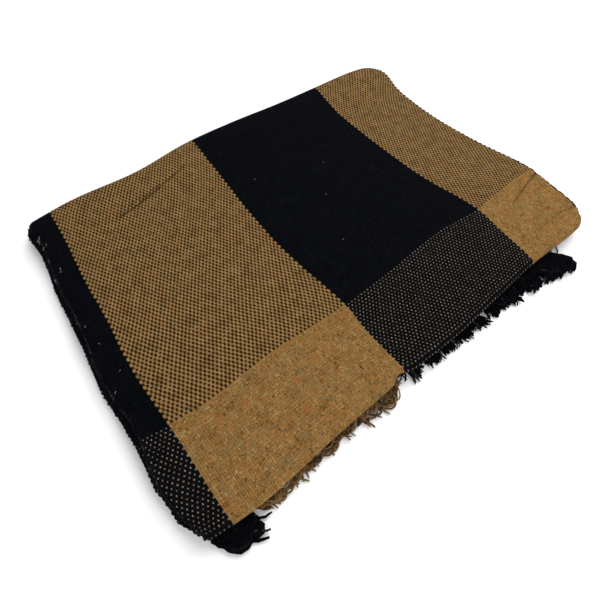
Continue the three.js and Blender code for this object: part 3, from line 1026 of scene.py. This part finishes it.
def weave_group():
    """A plain weave: which yarn is on top, where that yarn's middle lies, and how high it stands."""
    tree, given, end = group(
        "Plain weave",
        {
            "Flat Place": VECTOR, "Warp Pitch": 0.0026, "Weft Pitch": 0.004, "Waver": 0.0005,
            "Dot Size": 1.0, "Unevenness": 0.2,
        },
        {
            "Weft Up": FLOAT, "Warp Place": FLOAT, "Weft Place": FLOAT, "Height": FLOAT, "Gap": FLOAT,
            "Yarn Place": VECTOR, "Chance": FLOAT,
        },
    )
    flat = given["Flat Place"]
    waver = noise(flat, WAVER_SCALE, 0.5, out=1).vectors("SUBTRACT", (0.5, 0.5, 0.5))
    uneven = parts_of(flat.vectors("ADD", waver.vectors("SCALE", scale=given["Waver"])))
    across_yarns = uneven["X"] / given["Warp Pitch"]
    along_yarns = uneven["Y"] / given["Weft Pitch"]
    turn_u, turn_v = across_yarns * math.pi, along_yarns * math.pi
    cos_u, sin_u = turn_u.maths("COSINE"), turn_u.maths("SINE")
    cos_v, sin_v = turn_v.maths("COSINE"), turn_v.maths("SINE")

    bulged_u = across_yarns + sin_u * cos_v * YARN_BULGE
    bulged_v = along_yarns + cos_u * sin_v * -YARN_BULGE
    warp_number, weft_number = bulged_u.maths("ROUND"), bulged_v.maths("ROUND")
    numbers = node(tree, "ShaderNodeCombineXYZ", warp_number, weft_number)
    chance = node(tree, "ShaderNodeTexWhiteNoise", numbers, noise_dimensions="2D")

    wide, tall = sin_u * DOT_NARROWNESS[0], sin_v * DOT_NARROWNESS[1]
    away = (wide.maths("POWER", 2.0) + tall.maths("POWER", 2.0)).maths("SQRT")
    size = given["Dot Size"] + (chance - 0.5) * given["Unevenness"]
    inside = soft_step(size - away, -DOT_SOFTNESS, DOT_SOFTNESS)
    weft_up = inside * (cos_u * cos_v).maths("GREATER_THAN", 0.0)
    round_u = (bulged_u * math.pi).maths("COSINE").maths("ABSOLUTE")
    round_v = (bulged_v * math.pi).maths("COSINE").maths("ABSOLUTE")
    height = round_u.maths("POWER", RIB_POWER) * round_v.maths("POWER", CROWN_POWER)
    gap = (1.0 - cos_u.maths("ABSOLUTE")) * (1.0 - cos_v.maths("ABSOLUTE"))

    along_warp = node(tree, "ShaderNodeCombineXYZ", warp_number * YARN_APART, uneven["Y"])
    along_weft = node(tree, "ShaderNodeCombineXYZ", uneven["X"], weft_number * -YARN_APART)
    to_weft = along_weft.vectors("SUBTRACT", along_warp)
    to_weft = to_weft.vectors("SCALE", scale=weft_up.maths("GREATER_THAN", 0.5))
    give(
        end, Weft_Up=weft_up, Warp_Place=warp_number * given["Warp Pitch"],
        Weft_Place=weft_number * given["Weft Pitch"], Height=height, Gap=gap,
        Yarn_Place=along_warp.vectors("ADD", to_weft), Chance=chance)
    return tree


def yarn_group():
    """The colour of heathered cotton: fibres in tones that drift along each yarn and in clouds."""
    tree, given, end = group(
        "Heathered yarn",
        {
            "Yarn Place": VECTOR, "Cloud Place": VECTOR, "Chance": 0.5, "Shade": 0.0,
            **dict.fromkeys(TAN_TONES, COLOUR),
        },
        {"Colour": COLOUR, "Fibre Height": FLOAT},
    )
    along_yarn, in_clouds = given["Yarn Place"], given["Cloud Place"]
    drift = noise(along_yarn, DRIFT_SCALE, 0.5)
    slubs = noise(along_yarn, SLUB_SCALE, 0.6)
    clouds = noise(in_clouds, CLOUD_SCALE, 0.6)
    hue_clouds = noise(in_clouds, HUE_CLOUD_SCALE, 0.5)
    grain = noise(in_clouds, GRAIN_SCALE, 0.8)
    tone = slubs * TONE_SHARES["slubs"] + clouds * TONE_SHARES["clouds"]
    tone = tone + grain * TONE_SHARES["grain"] + given["Chance"] * TONE_SHARES["chance"]
    hue = drift * 0.5 + hue_clouds * 0.5
    colour = given["Yarn"]
    for value, steps in ((tone, TONE_STEPS), (hue, HUE_STEPS)):
        for name, (none, whole) in steps.items():
            colour = mix(soft_step(value, none, whole), colour, given[name])
    colour = mix(given["Shade"], colour, FULL_SHADE)
    give(end, Colour=colour, Fibre_Height=noise(along_yarn, FIBRE_SCALE, 0.5))
    return tree


def crease_group():
    """Shade in a crease's bottom, which fades with the distance from the line that it runs on."""
    tree, given, end = group(
        "Crease shade",
        {"Flat Place": VECTOR, "Start": VECTOR, "Way": VECTOR, "Width": 0.004},
        {"Shade": FLOAT},
    )
    way = given["Way"]
    away = given["Flat Place"].vectors("SUBTRACT", given["Start"])
    share = away.vectors("DOT_PRODUCT", way, out=1) / way.vectors("DOT_PRODUCT", way, out=1)
    share = share.maths("MAXIMUM", 0.0).maths("MINIMUM", 1.0)
    distance = away.vectors("SUBTRACT", way.vectors("SCALE", scale=share)).vectors("LENGTH", out=1)
    give(end, Shade=soft_step(distance / given["Width"], *CREASE_SHADE_FADE))
    return tree


def crease_shade(groups, flat):
    """Shade of all the creases that show as dark lines."""
    total = None
    for p, q, end_p, end_q, width, _, strength in zip(*CREASES.values()):
        if strength == 0:
            continue
        shade = place(
            flat.tree, groups["crease"], Flat_Place=flat,
            Start=(p * MM, (TOP_LEVEL_START + q) * MM, 0), Way=((end_p - p) * MM, (end_q - q) * MM, 0),
            Width=width * CREASE_SHADE_WIDTH * MM,
        )["Shade"] * strength
        total = shade if total is None else total.maths("MAXIMUM", shade)
    return total


def new_material(name, **values):
    """A material, its node tree and its own shader, with the values that are the same all over."""
    material = bpy.data.materials.new(name)
    material.use_nodes = True
    shader = next(n for n in material.node_tree.nodes if n.type == "BSDF_PRINCIPLED")
    give(shader, **values)
    return material, material.node_tree, shader


def plain_material(name, colour, roughness):
    """A plain material, for the floor and for single fibres."""
    return new_material(name, Base_Color=colour, Roughness=roughness, Specular_IOR_Level=0.1)[0]


def add_relief(tree, shader, height, strength, distance):
    """Gives a shader its relief."""
    bump = node(tree, "ShaderNodeBump")
    give(bump.socket.node, Height=height, Strength=strength, Distance=distance)
    give(shader, Normal=bump)


def striped_yarn(groups, colours, yarn_place, cloud_place, dark, chance, shade):
    """Tan yarn and black yarn, each heathered, chosen by the stripe that the yarn belongs to."""
    tan, black = (
        place(
            dark.tree, groups["yarn"], Yarn_Place=yarn_place, Cloud_Place=cloud_place, Chance=chance,
            Shade=shade, **{tone: getattr(colours, name) for tone, name in tones.items()})
        for tones in (TAN_TONES, BLACK_TONES))
    return mix(dark, tan["Colour"], black["Colour"]), tan["Fibre Height"]


def stripe(groups, place_along, middle, borders):
    """The dark stripes of one set of yarns."""
    first, second, third = (b * MM for b in borders)
    return place(
        place_along.tree, groups["stripes"], Place=place_along, Middle=middle * MM,
        First_Border=first, Second_Border=second, Third_Border=third,
    )["Dark"]


def cloth_material(groups, colours, weave):
    """The woven check, in the flat cloth's own places."""
    material, tree, shader = new_material("woven_cotton", **COTTON)
    flat = node(tree, "ShaderNodeUVMap", uv_map=FLAT_MAP)
    across_cloth = parts_of(flat)["X"]
    near_dark = stripe(groups, across_cloth, HALF_WIDTH, WARP_STRIPES)
    from_middle = (across_cloth - HALF_WIDTH * MM).maths("ABSOLUTE")
    at_selvedge = soft_step(from_middle, HALF_WIDTH * MM - weave.selvedge, HALF_WIDTH * MM)
    patches = noise(flat, PATCH_SCALE, 0.65, detail=3.0)
    patch_hue = noise(flat, PATCH_HUE_SCALE, 0.6, detail=3.0)
    dot_size = blend(near_dark, weave.dot_on_tan, weave.dot_on_black)
    dot_size = blend(at_selvedge, dot_size, weave.dot_on_selvedge)
    dot_size = dot_size + (patches - 0.5) * PATCH_SWELL * (1.0 - near_dark)
    woven = place(
        tree, groups["weave"], Flat_Place=flat, Warp_Pitch=weave.warp_pitch,
        Weft_Pitch=weave.weft_pitch, Waver=weave.waver, Dot_Size=dot_size,
        Unevenness=blend(near_dark, *DOT_UNEVENNESS),
    )
    weft_up, chance = woven["Weft Up"], woven["Chance"]
    warp_dark = stripe(groups, woven["Warp Place"], HALF_WIDTH, WARP_STRIPES)
    weft_dark = stripe(groups, woven["Weft Place"], NEAR_FOLD_MIDDLE, WEFT_STRIPES)
    dark = blend(weft_up, warp_dark, weft_dark).maths("GREATER_THAN", 0.5)
    furrow = (1.0 - woven["Height"]) * FURROW_SHADE
    shade = furrow.maths("MAXIMUM", woven["Gap"] * blend(dark, *GAP_SHADE))
    tone = blend(WEFT_LIGHTER, chance, weft_up)
    colour, fibres = striped_yarn(groups, colours, woven["Yarn Place"], flat, dark, tone, shade)

    dotted_tan = (1.0 - warp_dark) * weft_dark
    net = mix(soft_step(patches, *NET_DULL_STEP), colours.net, colours.net_dull)
    net = mix(soft_step(patch_hue, *NET_WARM_STEP), net, colours.net_warm)
    colour = mix(dotted_tan * NET_SHARE, colour, net)
    colour = mix(dotted_tan * weft_up, colour, mix(chance, colours.dot_brown_deep_and_crease_shade, colours.dot_brown))
    dotted_black = warp_dark * (1.0 - weft_dark)
    colour = mix(dotted_black * WARM_BLACK_SHARE, colour, colours.tan_yarn)
    # Tan weft dots between black warp yarns: the tan is painted darker and greyer for the shade in the
    # black yarns' furrows
    colour = mix(dotted_black * weft_up, colour, mix(chance, colours.shaded_dot_dim, colours.shaded_dot_bright))
    # Painted shade along the creases' bottoms, in the darkest dot colour
    colour = mix(crease_shade(groups, flat), colour, colours.dot_brown_deep_and_crease_shade)
    give(shader, Base_Color=colour)
    add_relief(tree, shader, woven["Height"] + fibres * FIBRES_ON_CLOTH, CLOTH_BUMP, weave.relief)
    return material


def yarn_coordinates(tree):
    """The root's flat place, the place along a loose yarn, and a number by chance for each yarn."""
    flat = node(tree, "ShaderNodeUVMap", uv_map=FLAT_MAP)
    strand = node(tree, "ShaderNodeUVMap", uv_map=STRAND_MAP)
    chance = node(tree, "ShaderNodeTexWhiteNoise", flat, noise_dimensions="2D")
    return parts_of(flat), parts_of(strand), chance


def plies(turns):
    """The height of a yarn's twisted plies."""
    angle = turns["X"] * (4 * math.pi) + turns["Y"] * (2 * math.pi / PLY_TURN)
    return (angle.maths("SINE") + 1.0) * 0.5


def loose_yarn(name, groups, colours, way, middle, borders, ply_shade):
    """A material for loose striped yarn, with its shader, colour, stripe and number by chance."""
    material, tree, shader = new_material(name, **COTTON)
    root, turns, chance = yarn_coordinates(tree)
    dark = stripe(groups, root[way], middle, borders)
    ply = plies(turns)
    yarn_place = node(tree, "ShaderNodeCombineXYZ", chance * YARN_SHIFT, turns["Y"])
    colour, fibres = striped_yarn(
        groups, colours, yarn_place, yarn_place, dark, chance, (1.0 - ply) * ply_shade)
    add_relief(tree, shader, ply + fibres * FIBRES_ON_YARN, YARN_BUMP, PLY_RELIEF)
    give(shader, Base_Color=colour)
    return material, shader, colour, dark, chance


def warp_end_material(groups, colours):
    """Loose warp ends: black, or brown of many depths that is partly painted shade, with a few pale
    ones: lint on tan ends, painted highlights on black ends.
    """
    material, shader, colour, dark, chance = loose_yarn(
        "fringe_yarn", groups, colours, "X", HALF_WIDTH, WARP_STRIPES, 0.5)
    # Brown ends: partly the fringe's brown-black mix, partly painted shade among its strands
    brown = mix(soft_step(chance, *END_BROWN_STEP), colours.end_deep_and_shade, colours.end_brown_and_shade)
    colour = mix((1.0 - dark) * END_BROWN_SHARE, colour, brown)
    # Pale ends: lint on tan ends, and painted highlights on black ends
    pale = chance.maths("GREATER_THAN", PALE_ENDS_FROM) * blend(dark, *PALE_END_AND_HIGHLIGHT_SHARE)
    give(shader, Base_Color=mix(pale, colour, colours.lint))
    return material


def weft_turn_material(groups, colours):
    """Weft yarn that stands out round the folded edge, in its own stripes."""
    return loose_yarn("weft_yarn", groups, colours, "Y", NEAR_FOLD_MIDDLE, WEFT_STRIPES, 0.4)[0]


def selvedge_material(colours):
    """Black selvedge yarn with grey in it: partly lint caught in it, partly a painted highlight along
    the selvedge's ridge.
    """
    material, tree, shader = new_material("selvedge_yarn", **COTTON)
    turns = yarn_coordinates(tree)[1]
    # Grey patches on the selvedge: partly lint, partly a painted highlight along its ridge
    lint = noise(node(tree, "ShaderNodeTexCoord", out="Object"), SELVEDGE_LINT_AND_HIGHLIGHT_SCALE, 0.6, dimensions="3D")
    share = soft_step(lint, *SELVEDGE_LINT_AND_HIGHLIGHT_STEP) * SELVEDGE_LINT_AND_HIGHLIGHT_SHARE
    give(shader, Base_Color=mix(share, colours.black_pale, colours.selvedge_lint_and_highlight))
    add_relief(tree, shader, plies(turns), YARN_BUMP, PLY_RELIEF)
    return material


# Stage

def make_floor(size, colour):
    """The plain surface that the blanket lies on."""
    mesh = bpy.data.meshes.new(FLOOR_NAME)
    corners = [(x * size / 2, y * size / 2, 0) for x, y in ((-1, -1), (1, -1), (1, 1), (-1, 1))]
    mesh.from_pydata(corners, [], [(0, 1, 2, 3)])
    mesh.materials.append(plain_material("pale_floor", colour, 0.9))
    floor = bpy.data.objects.new(FLOOR_NAME, mesh)
    bpy.context.scene.collection.objects.link(floor)


def make_light(name, location, size, power):
    """A large soft light that faces the blanket's middle."""
    data = bpy.data.lights.new(name, "AREA")
    data.shape = "SQUARE"
    data.size = size
    data.energy = power
    light = bpy.data.objects.new(name, data)
    light.location = location
    light.rotation_euler = (-Vector(location)).to_track_quat("-Z", "Y").to_euler()
    bpy.context.scene.collection.objects.link(light)


def make_camera(stage):
    """The camera, held above the near left corner and turned a little about its own line of sight."""
    data = bpy.data.cameras.new("camera")
    data.lens = stage.lens
    data.sensor_width = stage.sensor_width
    camera = bpy.data.objects.new("camera", data)
    azimuth, tilt, roll = stage.azimuth, stage.tilt, stage.roll
    away_x, away_y, reach = math.sin(azimuth), math.cos(azimuth), math.cos(tilt)
    ahead = Vector((away_x * reach, away_y * reach, -math.sin(tilt)))
    level = Vector((away_y, -away_x, 0))
    upright = level.cross(ahead)
    right = level * math.cos(roll) + upright * math.sin(roll)
    up = upright * math.cos(roll) - level * math.sin(roll)
    turned = Matrix((right, up, -ahead)).transposed().to_4x4()
    camera.matrix_world = Matrix.Translation(stage.camera_place) @ turned
    bpy.context.scene.collection.objects.link(camera)
    bpy.context.scene.camera = camera


# Settings, one group for each kind of size or colour

LENGTH = {"unit": "LENGTH", "subtype": "DISTANCE", "precision": 5}
FACTOR = {"subtype": "FACTOR"}
ANGLE = {"unit": "ROTATION", "subtype": "ANGLE"}
POWER = {"unit": "POWER"}


def number(name, description, default, low, high, **kind):
    """A setting for a number, of a kind with its own unit or subtype."""
    return bpy.props.FloatProperty(
        name=name, description=description, default=default, min=low, max=high, **kind)


class BlanketWeave(bpy.types.PropertyGroup):
    """How closely the yarns lie and how far they stand out."""
    warp_pitch: number(
        "Warp pitch", "Distance between neighbouring warp yarns", 0.00262, 0.0005, 0.01, **LENGTH)
    weft_pitch: number(
        "Weft pitch", "Distance between neighbouring weft yarns", 0.00395, 0.0005, 0.01, **LENGTH)
    waver: number(
        "Waver", "How far the yarns wander from straight lines", 0.0011, 0, 0.01, **LENGTH)
    dot_on_tan: number(
        "Weft dots on tan", "Size of the weft's dots between tan warp yarns", 1.56, 0.2, 2.0, **FACTOR)
    dot_on_black: number(
        "Weft dots on black", "Size of the weft's dots between black warp yarns",
        0.74, 0.2, 1.5, **FACTOR)
    dot_on_selvedge: number(
        "Weft dots on the selvedge", "Size of the weft's dots at the selvedge itself",
        0.3, 0.0, 1.5, **FACTOR)
    selvedge: number("Selvedge", "Width of the dense selvedge", 0.004, 0, 0.05, **LENGTH)
    relief: number(
        "Relief", "Height of a yarn over the furrows beside it", 0.0006, 0, 0.005, **LENGTH)
    strand_width: number(
        "Strand width", "Thickness of one loose yarn", 0.0017, 0.0003, 0.01, **LENGTH)
    fringe_length: number(
        "Fringe length", "Length of the fringe past the cloth's end", 0.038, 0.005, 0.2, **LENGTH)


def swatch(name, description, default):
    """A setting for a colour."""
    return bpy.props.FloatVectorProperty(
        name=name, description=description, default=default, size=3, min=0, max=1, subtype="COLOR")


class BlanketColours(bpy.types.PropertyGroup):
    """Colours of the yarns and of the floor."""
    tan_yarn: swatch("Tan yarn", "Main colour of the tan yarn", (0.221, 0.120, 0.036))
    tan_deep: swatch("Tan, deep", "Darkest fibres of the tan yarn", (0.091, 0.043, 0.009))
    tan_pale: swatch("Tan, pale", "Lightest fibres of the tan yarn", (0.353, 0.209, 0.079))
    tan_warm: swatch("Tan, warm", "Reddest fibres of the tan yarn", (0.248, 0.113, 0.031))
    tan_green: swatch("Tan, green", "Greenest fibres of the tan yarn", (0.195, 0.122, 0.047))
    net: swatch("Tan over black", "Tan warp where it crosses black weft", (0.216, 0.141, 0.062))
    net_dull: swatch("Tan over black, dull", "Dullest tan over black weft", (0.140, 0.098, 0.050))
    net_warm: swatch("Tan over black, warm", "Reddest tan over black weft", (0.220, 0.127, 0.052))
    # The darkest dot colour also paints the shade in the creases' bottoms
    dot_brown_deep_and_crease_shade: swatch("Dots on tan, deep", "Darkest weft dots on tan", (0.017, 0.006, 0.0006))
    dot_brown: swatch("Dots on tan", "Lightest weft dots on tan", (0.036, 0.014, 0.002))
    # Dots on black: tan weft painted darker and greyer for the shade between black yarns
    shaded_dot_dim: swatch("Dots on black, dim", "Darkest weft dots on black", (0.085, 0.076, 0.060))
    shaded_dot_bright: swatch("Dots on black, bright", "Lightest weft dots on black", (0.185, 0.166, 0.132))
    black_yarn: swatch("Black yarn", "Main colour of the black yarn", (0.0022, 0.0025, 0.0038))
    black_deep: swatch("Black, deep", "Darkest fibres of the black yarn", (0.0012, 0.0014, 0.0024))
    black_pale: swatch("Black, pale", "Lightest fibres of the black yarn", (0.0052, 0.0056, 0.0078))
    # Fringe browns: partly the ends' own colour, partly painted shade among the strands
    end_brown_and_shade: swatch("Fringe, brown", "Lightest brown ends of the fringe", (0.165, 0.098, 0.045))
    end_deep_and_shade: swatch("Fringe, deep", "Darkest brown ends of the fringe", (0.018, 0.012, 0.007))
    # Lint colour; on black fringe ends it stands for painted highlights
    lint: swatch("Lint", "Pale lint and a few pale ends of the fringe", (0.20, 0.19, 0.18))
    # Selvedge grey: partly lint, partly a painted highlight along the selvedge's ridge
    selvedge_lint_and_highlight: swatch("Lint on selvedge", "Grey lint in the selvedge", (0.085, 0.085, 0.090))
    floor: swatch("Floor", "Colour of the floor", (0.9, 0.9, 0.9))


class BlanketStage(bpy.types.PropertyGroup):
    """Where the camera stands and how strong the lights are."""
    camera_place: bpy.props.FloatVectorProperty(
        name="Camera place", description="Where the camera's lens is",
        default=(-0.27793, -0.26397, 0.46400), size=3, unit="LENGTH", subtype="TRANSLATION")
    azimuth: number(
        "Azimuth", "Way that the camera looks, from +Y towards +X",
        math.radians(45.3), -math.pi, math.pi, **ANGLE)
    tilt: number(
        "Tilt", "How far the camera looks down from level",
        math.radians(59.89), 0, math.pi / 2, **ANGLE)
    roll: number(
        "Roll", "Turn of the camera about its line of sight",
        math.radians(5.96), -math.pi, math.pi, **ANGLE)
    lens: number("Lens", "Focal length of the camera, in millimetres", 24.7, 1, 500)
    sensor_width: number(
        "Sensor width", "Width of the camera's sensor, in millimetres", 36.0, 1, 100)
    floor_size: number("Floor size", "Width and depth of the floor", 8.0, 1, 100, **LENGTH)
    key_power: number("Key light", "Power of the large light above", 42.0, 0, 1000, **POWER)
    fill_power: number("Fill light", "Power of the light at the side", 14.0, 0, 1000, **POWER)
    room_light: number("Room light", "Strength of the even light all round", 0.55, 0, 10)


# Operators, one for each piece or group of like pieces

def shared_groups():
    """The node groups that the materials share, each made once."""
    makers = {
        "stripes": ("Mirrored stripes", stripes_group),
        "weave": ("Plain weave", weave_group),
        "yarn": ("Heathered yarn", yarn_group),
        "crease": ("Crease shade", crease_group),
    }
    return {key: bpy.data.node_groups.get(name) or maker() for key, (name, maker) in makers.items()}


class BLANKET_OT_fringe(bpy.types.Operator):
    """Makes the tassels of both fringed ends"""
    bl_idname = "blanket.fringe"
    bl_label = "Make fringes"

    def execute(self, context):
        scene = context.scene
        material = warp_end_material(shared_groups(), scene.blanket_colours)
        for name, node_name, is_first_end, seed in FRINGES:
            random = np.random.default_rng(seed)
            piece = make_fringe(name, is_first_end, random, scene.blanket_weave, material)
            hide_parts(node_name)
        return {"FINISHED"}


class BLANKET_OT_edges(bpy.types.Operator):
    """Makes the yarns that stand out at the selvedges and round the folded edge"""
    bl_idname = "blanket.edges"
    bl_label = "Make edges"

    def execute(self, context):
        scene = context.scene
        groups, colours = shared_groups(), scene.blanket_colours
        random = np.random.default_rng(EDGE_SEED)
        selvedge = selvedge_material(colours)
        make_selvedge(random, scene.blanket_weave, selvedge)
        make_cords(random, selvedge)
        make_floats(random, scene.blanket_weave, weft_turn_material(groups, colours))
        return {"FINISHED"}


class BLANKET_OT_threads(bpy.types.Operator):
    """Makes the lint and the loose threads on the top level and the folded edge"""
    bl_idname = "blanket.threads"
    bl_label = "Make loose threads"

    def execute(self, context):
        colours = context.scene.blanket_colours
        make_threads("lint", LINT, plain_material("pale_lint", colours.lint, 0.95))
        make_threads("loose_threads", THREADS, plain_material("brown_thread", colours.dot_brown, 0.95))
        return {"FINISHED"}


class BLANKET_OT_cloth(bpy.types.Operator):
    """Makes the woven sheet on its folds"""
    bl_idname = "blanket.cloth"
    bl_label = "Make cloth"

    def execute(self, context):
        scene = context.scene
        material = cloth_material(shared_groups(), scene.blanket_colours, scene.blanket_weave)
        cloth = make_cloth(material)
        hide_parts("blanket_cloth")
        CLOTH_LENGTH * MM
        return {"FINISHED"}


class BLANKET_OT_stage(bpy.types.Operator):
    """Makes the floor, the lights and the camera"""
    bl_idname = "blanket.stage"
    bl_label = "Make stage"

    def execute(self, context):
        scene = context.scene
        stage = scene.blanket_stage
        make_floor(stage.floor_size, scene.blanket_colours.floor)
        make_light("key_light", KEY_LIGHT["place"], KEY_LIGHT["size"], stage.key_power)
        make_light("fill_light", FILL_LIGHT["place"], FILL_LIGHT["size"], stage.fill_power)
        scene.world = bpy.data.worlds.new("room")
        scene.world.use_nodes = True
        background = next(n for n in scene.world.node_tree.nodes if n.type == "BACKGROUND")
        background.inputs["Color"].default_value = (1, 1, 1, 1)
        background.inputs["Strength"].default_value = stage.room_light
        scene.view_settings.view_transform = "Standard"
        make_camera(stage)
        return {"FINISHED"}


class BLANKET_PT_pieces(bpy.types.Panel):
    """Lists the pieces of the blanket"""
    bl_label = "Folded blanket"
    bl_idname = "BLANKET_PT_pieces"
    bl_space_type = "VIEW_3D"
    bl_region_type = "UI"
    bl_category = "Blanket"

    def draw(self, context):
        for operator in OPERATORS:
            self.layout.operator(operator.bl_idname)
        for settings in SETTINGS:
            box = self.layout.box()
            owner = getattr(context.scene, settings)
            for name in owner.__annotations__:
                box.prop(owner, name)


SETTINGS = {
    "blanket_weave": BlanketWeave,
    "blanket_colours": BlanketColours,
    "blanket_stage": BlanketStage,
}
OPERATORS = (
    BLANKET_OT_fringe, BLANKET_OT_edges, BLANKET_OT_threads, BLANKET_OT_cloth, BLANKET_OT_stage,
)
CLASSES = (*SETTINGS.values(), *OPERATORS, BLANKET_PT_pieces)


def register():
    for made in CLASSES:
        bpy.utils.register_class(made)
    for name, settings in SETTINGS.items():
        setattr(bpy.types.Scene, name, bpy.props.PointerProperty(type=settings))


def unregister():
    for name in SETTINGS:
        delattr(bpy.types.Scene, name)
    for made in reversed(CLASSES):
        bpy.utils.unregister_class(made)


def main():
    register()
    bpy.ops.blanket.fringe()
    bpy.ops.blanket.edges()
    bpy.ops.blanket.threads()
    bpy.ops.blanket.cloth()
    bpy.ops.blanket.stage()


if __name__ == "__main__":
    main()
